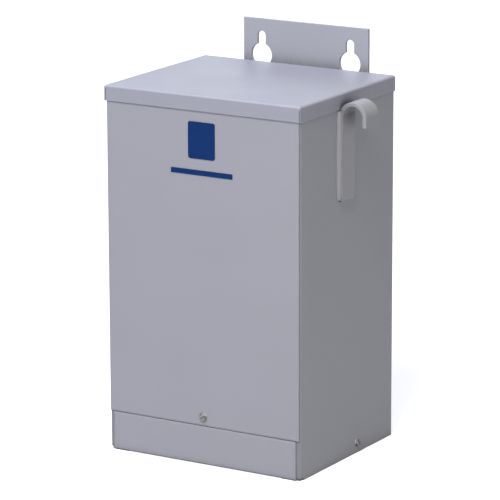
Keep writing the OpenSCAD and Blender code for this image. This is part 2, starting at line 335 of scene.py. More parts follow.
class ToneDrift(Group):
    """Slow and fine changes of a colour over a surface."""

    title = "tone_drift"
    speck_size = 1.2 * MM
    speck_share = 0.35
    pins_in = (AT, Pin("Color", "NodeSocketColor"), Pin("Patch Size", value=0.09), AMOUNT)
    pins_out = (Pin("Color", "NodeSocketColor"), Pin("Patch"))

    @classmethod
    def wire(cls, w: Wiring, pins: Sockets) -> dict[str, Any]:
        """Build the drift as a change of value.

        Args:
            w: Wiring of the group's tree.
            pins: The group's inputs by name.

        Returns:
            What each output is fed with.
        """
        patch = w.noise(pins["Vector"], pins["Patch Size"], 3.0)
        speck = w.noise(pins["Vector"], cls.speck_size, 1.0)
        fine = w.product(speck, cls.speck_share)
        middle = (1 + cls.speck_share) / 2
        drift = w.math("SUBTRACT", w.math("ADD", patch, fine), middle)
        value = w.math("ADD", 1.0, w.product(drift, pins["Amount"], 2.0))
        shifted = w.add("ShaderNodeHueSaturation", {"Color": pins["Color"], "Value": value})
        return {"Color": shifted.outputs[0], "Patch": patch}


class EdgeWear(Group):
    """A broken line along edges, where a coat lies thin or has been rubbed."""

    title = "edge_wear"
    chip_size = 4 * MM
    pins_in = (AT, Pin("Reach"))
    pins_out = (MASK, Pin("Normal", "NodeSocketVector"))

    @classmethod
    def wire(cls, w: Wiring, pins: Sockets) -> dict[str, Any]:
        """Compare the rounded normal with the face's own.

        Args:
            w: Wiring of the group's tree.
            pins: The group's inputs by name.

        Returns:
            What each output is fed with.
        """
        soft = w.add("ShaderNodeBevel", {"Radius": pins["Reach"]}, samples=4)
        face = w.add("ShaderNodeNewGeometry").outputs["Normal"]
        turn = w.add("ShaderNodeVectorMath", {0: soft.outputs[0], 1: face}, operation="DOT_PRODUCT")
        edge = w.span(turn.outputs["Value"], 0.995, 0.8)
        chips = w.span(w.noise(pins["Vector"], cls.chip_size, 3.0), 0.38, 0.62)
        return {"Mask": w.product(edge, chips), "Normal": soft.outputs[0]}


class DustFall(Group):
    """Fine dust that lies on what faces upwards."""

    title = "dust_fall"
    patch_size = 35 * MM
    speck_size = 1.6 * MM
    pins_in = (AT, AMOUNT)
    pins_out = (MASK,)

    @classmethod
    def wire(cls, w: Wiring, pins: Sockets) -> dict[str, Any]:
        """Take the upward part of the normal, broken up by two noises.

        Args:
            w: Wiring of the group's tree.
            pins: The group's inputs by name.

        Returns:
            What each output is fed with.
        """
        lies = w.span(w.facing("Z"), 0.35, 0.95)
        patch = w.span(w.noise(pins["Vector"], cls.patch_size, 4.0), 0.35, 0.7, 0.35, 1.0)
        speck = w.span(w.noise(pins["Vector"], cls.speck_size, 2.0), 0.4, 0.7, 0.5, 1.0)
        return {"Mask": w.product(lies, patch, speck, pins["Amount"])}


class PaintedFoldHighlight(Group):
    """Painted highlight along the rounded folds and edges between flat faces."""

    title = "painted_fold_highlight"
    patch_size = 30 * MM
    pins_in = (AT, Pin("Normal", "NodeSocketVector"), AMOUNT)
    pins_out = (MASK,)

    @classmethod
    def wire(cls, w: Wiring, pins: Sockets) -> dict[str, Any]:
        """Find normals that lie between two axes.

        Args:
            w: Wiring of the group's tree.
            pins: The group's inputs by name.

        Returns:
            What each output is fed with.
        """
        parts = w.add("ShaderNodeSeparateXYZ", {0: pins["Normal"]}).outputs
        leans = (w.math("ABSOLUTE", parts[axis]) for axis in "XYZ")
        largest = reduce(lambda first, second: w.math("MAXIMUM", first, second), leans)
        patch = w.span(w.noise(pins["Vector"], cls.patch_size, 3.0), 0.3, 0.7, 0.7, 1.0)
        return {"Mask": w.product(w.span(largest, 0.995, 0.88), patch, pins["Amount"])}


class PaintedCreviceShade(Group):
    """Painted shade that darkens the colour where pieces meet and the surface is closed in."""

    title = "painted_crevice_shade"
    patch_size = 6 * MM
    pins_in = (AT, Pin("Reach"), AMOUNT)
    pins_out = (MASK,)

    @classmethod
    def wire(cls, w: Wiring, pins: Sockets) -> dict[str, Any]:
        """Take how much a point is closed in, broken up by a noise.

        Args:
            w: Wiring of the group's tree.
            pins: The group's inputs by name.

        Returns:
            What each output is fed with.
        """
        # Ambient occlusion becomes a darker colour: painted shade in corners and recesses.
        closed = w.add("ShaderNodeAmbientOcclusion", {"Distance": pins["Reach"]}, samples=6)
        deep = w.span(closed.outputs["AO"], 0.95, 0.4)
        patch = w.span(w.noise(pins["Vector"], cls.patch_size, 3.0), 0.3, 0.7, 0.75, 1.0)
        return {"Mask": w.product(deep, deep, patch, pins["Amount"])}


# ---- Finishes ----


DUST = colour(196, 194, 188)
# Tone of the painted shade in crevices and corners.
PAINTED_SHADE_TONE = colour(70, 69, 68)
# Tone of the painted shade in the fastener heads' recesses.
PAINTED_RECESS_TONE = colour(38, 36, 34)
# Tone of the painted shade on the side panels' forward faces.
PAINTED_STRIP_SHADE = colour(112, 113, 119)


@dataclass(frozen=True)
class Finish:
    """A surface finish, with what every finish shares."""

    name: str
    slot: Slot
    tone: Colour

    def shade(self, w: Wiring, vector: Socket) -> dict[str, Any]:
        """Wire the finish; each one writes its own."""
        raise NotImplementedError

    def paler(self, factor: float, lift: float = 0.0) -> Colour:
        """The finish's tone, made so many times as light, and lifted by a little."""
        red, green, blue = (min(1.0, part * factor + lift) for part in self.tone[:3])
        return (red, green, blue, 1.0)

    def material(self) -> bpy.types.Material:
        """Build the finish's material at its first use.

        Returns:
            The one material that every piece with this finish shares.
        """
        found = bpy.data.materials.get(self.name)
        if found is not None:
            return found
        made = bpy.data.materials.new(self.name)
        made.use_nodes = True
        made.node_tree.nodes.clear()
        made.diffuse_color = self.tone
        w = Wiring(made.node_tree)
        fed = self.shade(w, w.add("ShaderNodeTexCoord").outputs["Object"])
        shader = w.add("ShaderNodeBsdfPrincipled", fed)
        w.add("ShaderNodeOutputMaterial", {"Surface": shader.outputs[0]})
        return made


@dataclass(frozen=True)
class PowderCoat(Finish):
    """Baked semi-gloss powder coat on sheet steel.

    A share of painted shade darkens the faces that point forward, beside the cover's edge, for the shade in
    the narrow strips there.
    """

    rough_low: float = 0.40
    rough_high: float = 0.50
    peel_size: float = 2.1 * MM
    peel_depth: float = 0.012 * MM
    wave_depth: float = 0.10 * MM
    drift: float = 0.03
    gloss: float = 0.5
    wear: float = 0.35
    wear_reach: float = 0.9 * MM
    # Share of painted highlight along rounded folds.
    rub: float = 0.15
    dust: float = 0.16
    # Painted shade in crevices: its share and how far the occlusion reaches.
    grime: float = 0.35
    grime_reach: float = 12 * MM
    front_painted_shade: float = 0.0
    pale_edge_factor: float = 1.28
    dust_rough: float = 0.35

    def shade(self, w: Wiring, vector: Socket) -> dict[str, Any]:
        """Wire colour drift, dust, thin edges, painted fold highlight, painted crevice shade, orange peel
        and sheet waves.

        Args:
            w: Wiring of the material.
            vector: The object coordinates.

        Returns:
            What the shader's inputs are fed with.
        """
        drift = ToneDrift.use(w, vector, color=self.tone, amount=self.drift)
        edge = EdgeWear.use(w, vector, reach=self.wear_reach)
        thin = w.product(edge["Mask"], self.wear)
        fold = PaintedFoldHighlight.use(w, vector, normal=edge["Normal"], amount=self.rub)["Mask"]
        # Paler edges and folds: thin coat at the edges, painted highlight on the folds.
        wear_and_highlight = w.mix(w.math("MAXIMUM", thin, fold), drift["Color"], self.paler(self.pale_edge_factor))
        # Painted shade on the faces that point forward.
        if self.front_painted_shade:
            forward = w.product(w.span(w.facing("Y"), -0.15, -0.7), self.front_painted_shade)
            wear_and_highlight = w.mix(forward, wear_and_highlight, PAINTED_STRIP_SHADE)
        dust = DustFall.use(w, vector, amount=self.dust)["Mask"]
        # Painted shade where the surface is closed in.
        grime = PaintedCreviceShade.use(w, vector, reach=self.grime_reach, amount=self.grime)["Mask"]
        smooth = w.span(drift["Patch"], 0.3, 0.7, self.rough_low, self.rough_high)
        relief = CoatRelief.use(w, vector, peel_size=self.peel_size)
        wave = w.bump(relief["Wave"], self.wave_depth, edge["Normal"])
        return {
            "Base Color": w.mix(grime, w.mix(dust, wear_and_highlight, DUST), PAINTED_SHADE_TONE),
            "Roughness": w.math("ADD", smooth, w.product(dust, self.dust_rough)),
            "Normal": w.bump(relief["Peel"], self.peel_depth, wave),
            "IOR": 1.5,
            "Specular IOR Level": self.gloss,
        }


@dataclass(frozen=True)
class ZincPlate(Finish):
    """Dull zinc plating on a fastener's head."""

    rough_low: float = 0.32
    rough_high: float = 0.52
    cloud_size: float = 2.5 * MM
    cloud: float = 0.25
    wear: float = 0.7
    wear_reach: float = 0.35 * MM
    pale_edge_factor: float = 1.35
    # Painted shade in the heads' recesses: its share and reach.
    grime: float = 0.8
    grime_reach: float = 2.2 * MM
    grain_size: float = 0.35 * MM
    grain_depth: float = 0.006 * MM

    def shade(self, w: Wiring, vector: Socket) -> dict[str, Any]:
        """Wire clouded plating with painted shade in its recesses and bright rubbed edges.

        Args:
            w: Wiring of the material.
            vector: The object coordinates.

        Returns:
            What the shader's inputs are fed with.
        """
        drift = ToneDrift.use(w, vector, color=self.tone, patch_size=self.cloud_size, amount=self.cloud)
        edge = EdgeWear.use(w, vector, reach=self.wear_reach)
        thin = w.product(edge["Mask"], self.wear)
        rubbed = w.mix(thin, drift["Color"], self.paler(self.pale_edge_factor))
        # Painted shade under and around the head.
        grime = PaintedCreviceShade.use(w, vector, reach=self.grime_reach, amount=self.grime)["Mask"]
        grain = w.noise(vector, self.grain_size, 3.0)
        return {
            "Base Color": w.mix(grime, rubbed, PAINTED_RECESS_TONE),
            "Roughness": w.span(drift["Patch"], 0.3, 0.7, self.rough_low, self.rough_high),
            "Normal": w.bump(grain, self.grain_depth, edge["Normal"]),
            "Metallic": 1.0,
        }


@dataclass(frozen=True)
class SandPotting(Finish):
    """Resin and sand cast round the core and coils."""

    grain_size: float = 1.6 * MM
    grain_depth: float = 0.3 * MM
    cloud: float = 0.3
    grain_tone: float = 1.9

    def shade(self, w: Wiring, vector: Socket) -> dict[str, Any]:
        """Wire sand grains of several tones in a dull resin.

        Args:
            w: Wiring of the material.
            vector: The object coordinates.

        Returns:
            What the shader's inputs are fed with.
        """
        scale = 1 / self.grain_size
        cells = w.add("ShaderNodeTexVoronoi", {"Vector": vector, "Scale": scale})
        grey = w.add("ShaderNodeRGBToBW", {0: cells.outputs["Color"]}).outputs[0]
        drift = ToneDrift.use(w, vector, color=self.tone, amount=self.cloud)
        return {
            "Base Color": w.mix(w.span(grey, 0.55, 0.9), drift["Color"], self.paler(self.grain_tone)),
            "Roughness": w.span(grey, 0.2, 0.9, 0.62, 0.88),
            "Normal": w.bump(cells.outputs["Distance"], self.grain_depth),
        }


@dataclass(frozen=True)
class Enamel(Finish):
    """Satin enamel on a blank plate."""

    cloud_size: float = 12 * MM
    cloud: float = 0.12
    wear: float = 0.5
    wear_reach: float = 0.4 * MM
    pale_edge_factor: float = 1.8
    worn_lift: float = 0.02
    gloss: float = 0.15
    speck_size: float = 0.5 * MM
    speck_depth: float = 0.004 * MM

    def shade(self, w: Wiring, vector: Socket) -> dict[str, Any]:
        """Wire a deep colour with a fine speckle and thin rims.

        Args:
            w: Wiring of the material.
            vector: The object coordinates.

        Returns:
            What the shader's inputs are fed with.
        """
        drift = ToneDrift.use(w, vector, color=self.tone, patch_size=self.cloud_size, amount=self.cloud)
        edge = EdgeWear.use(w, vector, reach=self.wear_reach)
        speck = w.noise(vector, self.speck_size, 2.0)
        thin = w.product(edge["Mask"], self.wear)
        return {
            "Base Color": w.mix(thin, drift["Color"], self.paler(self.pale_edge_factor, self.worn_lift)),
            "Roughness": w.span(drift["Patch"], 0.3, 0.7, 0.34, 0.44),
            "Normal": w.bump(speck, self.speck_depth, edge["Normal"]),
            "Specular IOR Level": self.gloss,
        }


CASE_COAT = PowderCoat("case_coat", Slot.CASE, colour(163, 165, 174))
# The plates' bright edge band is partly thin coat and partly painted highlight along their rounded edges.
PLATE_COAT = replace(
    CASE_COAT, name="plate_coat", tone=colour(163, 165, 175), wear=0.5, wear_reach=2.8 * MM, rub=0.8
)
# The side panels carry painted shade on their faces that point forward.
SIDE_COAT = replace(CASE_COAT, name="side_coat", front_painted_shade=0.5)
# The lid carries a strong painted highlight along its rounded folds.
LID_COAT = PowderCoat("lid_coat", Slot.LID, colour(163, 165, 179), gloss=0.4, rub=0.9, dust=0.12)
# Hook bars and welds carry painted crevice shade and no painted fold highlight.
BAR_LOOKS = {"peel_depth": 0.016 * MM, "wave_depth": 0.0, "rub": 0.0, "grime": 0.6}
HOOK_COAT = PowderCoat("hook_coat", Slot.HOOK, colour(164, 165, 172), **BAR_LOOKS)
# Strong painted shade inside the hook's curl, reaching 32 mm.
CURL_COAT = replace(HOOK_COAT, name="curl_coat", grime=1.0, grime_reach=32 * MM)
# Strong painted shade along the bracket's foot behind the lid; its tone is set lighter than the case paint,
# painted light.
BRACKET_COAT = PowderCoat(
    "bracket_coat", Slot.BRACKET, colour(178, 181, 192), grime=1.0, grime_reach=20 * MM
)
ZINC = ZincPlate("dull_zinc", Slot.ZINC, colour(160, 160, 159))
POTTING = SandPotting("sand_potting", Slot.POTTING, colour(74, 73, 71))
BADGE = Enamel("badge_enamel", Slot.BADGE, colour(8, 50, 110))


# ---- Meshes ----


def object_of(name: str, data: bpy.types.ID) -> Object:
    """Put a mesh, a lamp or a camera into the scene, at the origin.

    Args:
        name: The object's name.
        data: What it shows.

    Returns:
        The new object.
    """
    made = bpy.data.objects.new(name, data)
    bpy.context.scene.collection.objects.link(made)
    return made


def mesh_of(name: str, bm: bmesh.types.BMesh, outwards: bool = True) -> Mesh:
    """Write a mesh being edited out as a mesh, and free it.

    Args:
        name: The mesh's name.
        bm: The mesh being edited.
        outwards: Whether to turn all faces outwards first.

    Returns:
        The new mesh.
    """
    if outwards:
        bmesh.ops.recalc_face_normals(bm, faces=bm.faces)
    mesh = bpy.data.meshes.new(name)
    bm.to_mesh(mesh)
    bm.free()
    return mesh


def merged_copy(source: Mesh, name: str) -> Object:
    """Copy a node's mesh with its loose triangles merged into whole faces.

    Args:
        source: The node's mesh.
        name: The new piece's name.

    Returns:
        The new object.
    """
    bm = bmesh.new()
    corners = [bm.verts.new(v.co) for v in source.vertices]
    for face in source.polygons:
        bm.faces.new([corners[i] for i in face.vertices])
    bmesh.ops.remove_doubles(bm, verts=bm.verts, dist=MERGE_GAP)
    bmesh.ops.dissolve_limit(
        bm, angle_limit=FLAT_ANGLE, verts=bm.verts, edges=bm.edges, use_dissolve_boundaries=False
    )
    return object_of(name, mesh_of(name, bm))


def baked(piece: Object) -> Object:
    """Turn a piece's modifiers into its plain mesh.

    Args:
        piece: The object with modifiers.

    Returns:
        The same object, without modifiers.
    """
    graph = bpy.context.evaluated_depsgraph_get()
    graph.update()
    mesh = bpy.data.meshes.new_from_object(piece.evaluated_get(graph))
    mesh.name = piece.name
    piece.modifiers.clear()
    piece.data = mesh
    return piece


def shaded_evenly(piece: Object) -> Object:
    """Smooth a piece's shading, led by its large faces, and bake its modifiers.

    Args:
        piece: The object, with its other modifiers already on it.

    Returns:
        The same object, with a plain mesh.
    """
    for face in piece.data.polygons:
        face.use_smooth = True
    even = piece.modifiers.new("even_normals", "WEIGHTED_NORMAL")
    even.weight = 60
    return baked(piece)


def round_edges(piece: Object, radius: float, segments: int = 3) -> Object:
    """Round a piece's sharp edges and smooth its shading.

    Args:
        piece: The object to round.
        radius: Radius of the rounding.
        segments: Faces across the rounding.

    Returns:
        The same object, with a plain mesh that stays inside its old box.
    """
    points = [vert.co for vert in piece.data.vertices]
    low, high = (Vector([pick(co[axis] for co in points) for axis in range(3)]) for pick in (min, max))
    bevel = piece.modifiers.new("rounding", "BEVEL")
    bevel.width = radius
    bevel.segments = segments
    bevel.limit_method = "ANGLE"
    bevel.angle_limit = EDGE_ANGLE
    bevel.use_clamp_overlap = True
    bevel.miter_outer = "MITER_ARC"
    shaded_evenly(piece)
    for vert in piece.data.vertices:
        for axis in range(3):
            vert.co[axis] = min(max(vert.co[axis], low[axis]), high[axis])
    return piece


def settle(piece: Object, finish: Finish, node: str) -> Object:
    """Give a finished piece its material and its body, and hide the node it replaces.

    Args:
        piece: The finished piece.
        finish: Its finish.
        node: The CAD node that it replaces.

    Returns:
        The same piece.
    """
    piece.data.materials.clear()
    piece.data.materials.append(finish.material())
    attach(piece, "root")
    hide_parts(node)
    return piece


def sweep(name: str, rings: Sequence[Sequence[Vector]]) -> Mesh:
    """Skin closed rings of points into one closed form.

    Args:
        name: The mesh's name.
        rings: Rings of as many points each, in order.

    Returns:
        The new mesh.
    """
    bm = bmesh.new()
    rows = [[bm.verts.new(p) for p in ring] for ring in rings]
    count = len(rows[0])
    for low, high in zip(rows, rows[1:]):
        for i in range(count):
            j = (i + 1) % count
            bm.faces.new([low[i], low[j], high[j], high[i]])
    bm.faces.new(rows[0])
    bm.faces.new(rows[-1])
    return mesh_of(name, bm)


def round_rectangle(width: float, height: float, radius: float, steps: int) -> list[tuple[float, float]]:
    """Corner-rounded rectangle about the origin.

    Args:
        width: Width over all.
        height: Height over all.
        radius: Radius of its corners.
        steps: Faces across each corner.

    Returns:
        Its points in order.
    """
    points = []
    for turn, (sx, sy) in enumerate(((1, 1), (-1, 1), (-1, -1), (1, -1))):
        cx = sx * (width / 2 - radius)
        cy = sy * (height / 2 - radius)
        for step in range(steps + 1):
            angle = math.pi / 2 * (turn + step / steps)
            points.append((cx + radius * math.cos(angle), cy + radius * math.sin(angle)))
    return points


# ---- Sub-assemblies ----


class SubAssembly:
    """A part of the whole that builds its own pieces."""

    def build(self) -> list[Object]:
        """Build and dress the pieces; each sub-assembly writes its own."""
        raise NotImplementedError


@dataclass
class SheetWork(SubAssembly):
    """Sheets that keep their CAD shape and get rounded edges."""

    nodes: Nodes
    edge_radius: float = 0.35 * MM
    segments: int = 3

    def sheet(self, node: str, name: str, finish: Finish) -> Object:
        """Build and dress one node's sheet under a name of its own."""
        piece = merged_copy(self.nodes[node].data, name)
        return settle(round_edges(piece, self.edge_radius, self.segments), finish, node)


@dataclass
class SteelCase(SheetWork):
    """Side panels, back, tray and the rail behind the seam."""

    def build(self) -> list[Object]:
        """Build and dress the case's sheets.

        Returns:
            The finished pieces.
        """
        coats = {f"{side.word}_side_panel": SIDE_COAT for side in Side}
        coats |= dict.fromkeys(("back_panel", "bottom_tray", "front_rail"), CASE_COAT)
        return [self.sheet(node, f"{node}_sheet", coat) for node, coat in coats.items()]


@dataclass
class Knockouts(SheetWork):
    """The tray's two knockouts, each a disc in a ring."""

    edge_radius: float = 0.2 * MM
    segments: int = 2

    def build(self) -> list[Object]:
        """Build and dress the rings and the discs."""
        nodes = [f"{side.word}_knockout_{part}" for side in Side for part in ("ring", "disc")]
        return [self.sheet(node, f"{node}_blank", CASE_COAT) for node in nodes]


@dataclass
class FrontPlates(SheetWork):
    """The upper cover and the lower panel."""

    edge_radius: float = 0.55 * MM
    segments: int = 4

    def build(self) -> list[Object]:
        """Build and dress both plates."""
        nodes = ("front_cover", "lower_front_panel")
        return [self.sheet(node, f"{node}_plate", PLATE_COAT) for node in nodes]


@dataclass
class FoldedLid(SheetWork):
    """The lid with its folded lip."""

    def build(self) -> list[Object]:
        """Build and dress the lid."""
        return [self.sheet("lid", "folded_lid", LID_COAT)]


@dataclass
class LiftingHooks(SubAssembly):
    """Two flat bars curled over at the top and welded to the sides."""

    thickness: float = 4 * MM
    tongue: float = 9 * MM
    edge_radius: float = 0.7 * MM
    end_softness: float = 0.55
    straight_steps: int = 6
    arc_steps: int = 40
    corner_steps: int = 5

    def path(self, low: Vector, high: Vector) -> list[tuple[Vector, Vector]]:
        """Middle line of the right-hand hook, from its foot to its tip.

        Args:
            low: Lowest corner of the hook's box.
            high: Highest corner of the hook's box.

        Returns:
            Points of the line, each with the direction away from the curl's middle.
        """
        outer = (high.x - low.x) / 2
        radius = outer - self.thickness / 2
        centre = Vector((low.x + outer, (low.y + high.y) / 2, high.z - outer))
        inner = Vector((-1, 0, 0))
        foot = Vector((centre.x - radius, centre.y, low.z))
        line = [(foot, inner)]
        spring = Vector((foot.x, foot.y, centre.z))
        shares = (step / self.straight_steps for step in range(1, self.straight_steps))
        line += [(foot.lerp(spring, share), inner) for share in shares]
        for step in range(self.arc_steps + 1):
            angle = math.pi * (1 - step / self.arc_steps)
            out = Vector((math.cos(angle), 0, math.sin(angle)))
            line.append((centre + out * radius, out))
        tip = Vector((centre.x + radius, centre.y, centre.z - self.tongue))
        line.append((line[-1][0].lerp(tip, 0.5), Vector((1, 0, 0))))
        line.append((tip, Vector((1, 0, 0))))
        return line

    def ring(self, at: Vector, out: Vector, width: float, inset: float) -> list[Vector]:
        """Cross-section of the bar.

        Args:
            at: Middle of the section.
            out: Direction of the bar's thickness.
            width: Width of the bar.
            inset: How far the section is drawn in.

        Returns:
            The section's points.
        """
        shape = round_rectangle(
            width - 2 * inset, self.thickness - 2 * inset, self.edge_radius - inset * 0.8, self.corner_steps
        )
        return [at + Vector((0, u, 0)) + out * v for u, v in shape]

    def hook(self, side: Side) -> Object:
        """Build one hook.

        Args:
            side: Which side it is on.

        Returns:
            The finished piece.
        """
        node = f"{side.word}_lifting_hook"
        low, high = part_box(node)
        if side is Side.LEFT:
            low, high = Vector((-high.x, low.y, low.z)), Vector((-low.x, high.y, high.z))
        line = self.path(low, high)
        width = high.y - low.y
        soft = self.edge_radius * self.end_softness
        rings = []
        for i, (at, out) in enumerate(line):
            if i in (0, len(line) - 1):
                ahead = (line[1][0] - at) if i == 0 else (line[-2][0] - at)
                ahead.normalize()
                ends = [(0.0, soft), (soft * 0.35, soft * 0.35), (soft, 0.0)]
                drawn = [self.ring(at + ahead * step, out, width, inset) for step, inset in ends]
                rings += drawn if i == 0 else drawn[::-1]
            else:
                rings.append(self.ring(at, out, width, 0.0))
        if side is Side.LEFT:
            rings = [[Vector((-p.x, p.y, p.z)) for p in ring] for ring in rings]
        piece = object_of(f"{node}_bar", sweep(f"{node}_bar", rings))
        return settle(shaded_evenly(piece), CURL_COAT, node)

    def build(self) -> list[Object]:
        """Build and dress both hooks."""
        return [self.hook(side) for side in Side]


class FilletBeads(Group):
    """A fillet weld along an upright corner, and its twin on the bar's other edge."""

    title = "fillet_beads"
    kind = "GeometryNodeTree"
    step = 0.3 * MM
    arc_points = 14
    wander_scale = 190.0
    wander_share = 0.12
    seed_step = 7.3
    leanest = 0.9
    end_taper = 0.12
    pins_in = (
        SHAPE,
        *(Pin(name, "NodeSocketVector") for name in ("Toe", "Crown", "Crest")),
        *(Pin(name) for name in ("Middle", "Ripple Pitch", "Ripple Depth")),
        SEED,
        MATERIAL,
    )
    pins_out = (SHAPE,)

    @classmethod
    def wire(cls, w: Wiring, pins: Sockets) -> dict[str, Any]:
        """Sweep the bead's arc up the corner, let it ripple and mirror it.

        Args:
            w: Wiring of the group's tree.
            pins: The group's inputs by name.

        Returns:
            What each output is fed with.
        """
        line = w.add("GeometryNodeMeshToCurve", {0: pins["Geometry"]}).outputs[0]
        inputs = {"Curve": line, "Length": cls.step}
        fine = w.add("GeometryNodeResampleCurve", inputs, mode="LENGTH").outputs[0]
        along = w.add("GeometryNodeSplineParameter")
        saw = w.math("FRACT", w.math("DIVIDE", along.outputs["Length"], pins["Ripple Pitch"]))
        ripple = w.product(w.math("SUBTRACT", saw, 0.5), pins["Ripple Depth"])
        seat = w.add("GeometryNodeInputPosition").outputs[0]
        inputs = {"Vector": seat, "Scale": cls.wander_scale, "W": w.product(pins["Seed"], cls.seed_step)}
        wander = w.add("ShaderNodeTexNoise", inputs, noise_dimensions="4D").outputs["Fac"]
        share = along.outputs["Factor"]
        ends = w.product(share, w.math("SUBTRACT", 1.0, share), 4.0)
        taper = w.math("POWER", ends, cls.end_taper)
        lean = w.math("ADD", cls.leanest, ripple)
        swell = w.math("ADD", lean, w.product(wander, cls.wander_share))
        inputs = {"Start": pins["Toe"], "Middle": pins["Crown"], "End": pins["Crest"]}
        inputs |= {"Resolution": cls.arc_points, "Connect Center": True}
        arc = w.add("GeometryNodeCurveArc", inputs, mode="POINTS")
        inputs = {"Curve": fine, "Profile Curve": arc.outputs[0], "Fill Caps": True}
        inputs["Scale"] = w.product(swell, taper)
        swept = w.add("GeometryNodeCurveToMesh", inputs).outputs[0]
        back = w.add("ShaderNodeCombineXYZ", {"Y": w.product(pins["Middle"], 2.0)})
        inputs = {"Geometry": swept, "Translation": back.outputs[0], "Scale": (1.0, -1.0, 1.0)}
        twin = w.add("GeometryNodeTransform", inputs).outputs[0]
        both = w.gather("GeometryNodeJoinGeometry", 0, (swept, twin))
        soft = w.add("GeometryNodeSetShadeSmooth", {0: both}).outputs[0]
        return {"Geometry": w.dressed(soft, pins["Material"])}


@dataclass(frozen=True)
class ScrewSize:
    """Sizes of one kind of fastener."""

    hex_radius: float
    hex_height: float
    flange_radius: float
    flange_height: float
    shank_radius: float
    shank_length: float
    slot_width: float
    slot_depth: float

    def values(self) -> dict[str, Any]:
        """The sizes by the tree's input names."""
        return {label(name): size for name, size in vars(self).items()}


SCREW = ScrewSize(3.7 * MM, 1.7 * MM, 4.8 * MM, 0.7 * MM, 2 * MM, 9 * MM, 0.9 * MM, 1.6 * MM)
BOLT = ScrewSize(6.2 * MM, 3.6 * MM, 5.3 * MM, 0.4 * MM, 3 * MM, 16 * MM, 0.1 * MM, 0.0)


class FlangedScrew(Group):
    """Hexagon heads with a flange, set on points that carry their own axis."""

    title = "flanged_screw"
    kind = "GeometryNodeTree"
    sides = 48
    shank_sides = 20
    slot_reach = 2.4
    chamfer = 0.86
    slope = 1.73
    flange_cone = 0.9
    least_slot = 0.05 * MM
    pins_in = (SHAPE, *(Pin(label(item.name)) for item in fields(ScrewSize)), SEED, MATERIAL)
    pins_out = (SHAPE,)

    @classmethod
    def moved(cls, w: Wiring, shape: Socket, height: Any) -> Socket:
        """Lift a shape along its own Z."""
        place = w.add("ShaderNodeCombineXYZ", {"Z": height}).outputs[0]
        return w.add("GeometryNodeTransform", {"Geometry": shape, "Translation": place}).outputs[0]

    @classmethod
    def head(cls, w: Wiring, pins: Sockets) -> Socket:
        """Build the hexagon with its conical chamfer and its slot.

        Args:
            w: Wiring of the tree.
            pins: The tree's inputs by name.

        Returns:
            The head's geometry.
        """
        tall = w.math("ADD", pins["Flange Height"], pins["Hex Height"])
        inputs = {"Vertices": 6, "Radius": pins["Hex Radius"], "Depth": tall}
        prism = w.add("GeometryNodeMeshCylinder", inputs, fill_type="NGON").outputs[0]
        prism = cls.moved(w, prism, w.product(tall, 0.5))
        top = w.product(pins["Hex Radius"], cls.chamfer)
        foot = w.math("ADD", top, w.product(tall, cls.slope))
        inputs = {"Vertices": cls.sides, "Radius Top": top, "Radius Bottom": foot, "Depth": tall}
        cone = w.add("GeometryNodeMeshCone", inputs, fill_type="NGON").outputs[0]
        kind = "GeometryNodeMeshBoolean"
        cut = w.gather(kind, "Mesh 2", (prism, cone), operation="INTERSECT", solver="EXACT")
        long = w.product(pins["Hex Radius"], cls.slot_reach)
        size = w.add("ShaderNodeCombineXYZ", {"X": long, "Y": pins["Slot Width"], "Z": pins["Slot Depth"]})
        slot = w.add("GeometryNodeMeshCube", {"Size": size.outputs[0]}).outputs[0]
        inputs = {"Mesh 1": cut, "Mesh 2": cls.moved(w, slot, tall)}
        slotted = w.add(kind, inputs, operation="DIFFERENCE", solver="EXACT")
        inputs = {0: pins["Slot Depth"], 1: cls.least_slot}
        wanted = w.add("FunctionNodeCompare", inputs, operation="GREATER_THAN")
        inputs = {"Switch": wanted.outputs[0], "False": cut, "True": slotted.outputs[0]}
        return w.add("GeometryNodeSwitch", inputs, input_type="GEOMETRY").outputs[0]

    @classmethod
    def wire(cls, w: Wiring, pins: Sockets) -> dict[str, Any]:
        """Build one screw and set it on every point, turned at random about its axis.

        Args:
            w: Wiring of the group's tree.
            pins: The group's inputs by name.

        Returns:
            What each output is fed with.
        """
        inputs = {
            "Vertices": cls.sides,
            "Radius Top": w.product(pins["Flange Radius"], cls.flange_cone),
            "Radius Bottom": pins["Flange Radius"],
            "Depth": pins["Flange Height"],
        }
        flange = w.add("GeometryNodeMeshCone", inputs, fill_type="NGON").outputs[0]
        inputs = {"Vertices": cls.shank_sides, "Radius": pins["Shank Radius"], "Depth": pins["Shank Length"]}
        shank = w.add("GeometryNodeMeshCylinder", inputs, fill_type="NGON").outputs[0]
        shank = cls.moved(w, shank, w.product(pins["Shank Length"], -0.5))
        whole = w.gather("GeometryNodeJoinGeometry", 0, (flange, shank, cls.head(w, pins)))
        axis = w.add("GeometryNodeInputNamedAttribute", {"Name": "axis"}, data_type="FLOAT_VECTOR")
        aim = w.add("FunctionNodeAlignRotationToVector", {"Vector": axis.outputs[0]}, axis="Z")
        inputs = {"Points": pins["Geometry"], "Instance": whole, "Rotation": aim.outputs[0]}
        placed = w.add("GeometryNodeInstanceOnPoints", inputs)
        turn = w.add("FunctionNodeRandomValue", {2: 0.0, 3: math.pi / 3}, data_type="FLOAT")
        w.feed(turn.inputs["Seed"], pins["Seed"])
        spin = w.add("ShaderNodeCombineXYZ", {"Z": turn.outputs[1]})
        inputs = {"Instances": placed.outputs[0], "Rotation": spin.outputs[0], "Local Space": True}
        turned = w.add("GeometryNodeRotateInstances", inputs)
        return {"Geometry": w.dressed(turned.outputs[0], pins["Material"])}


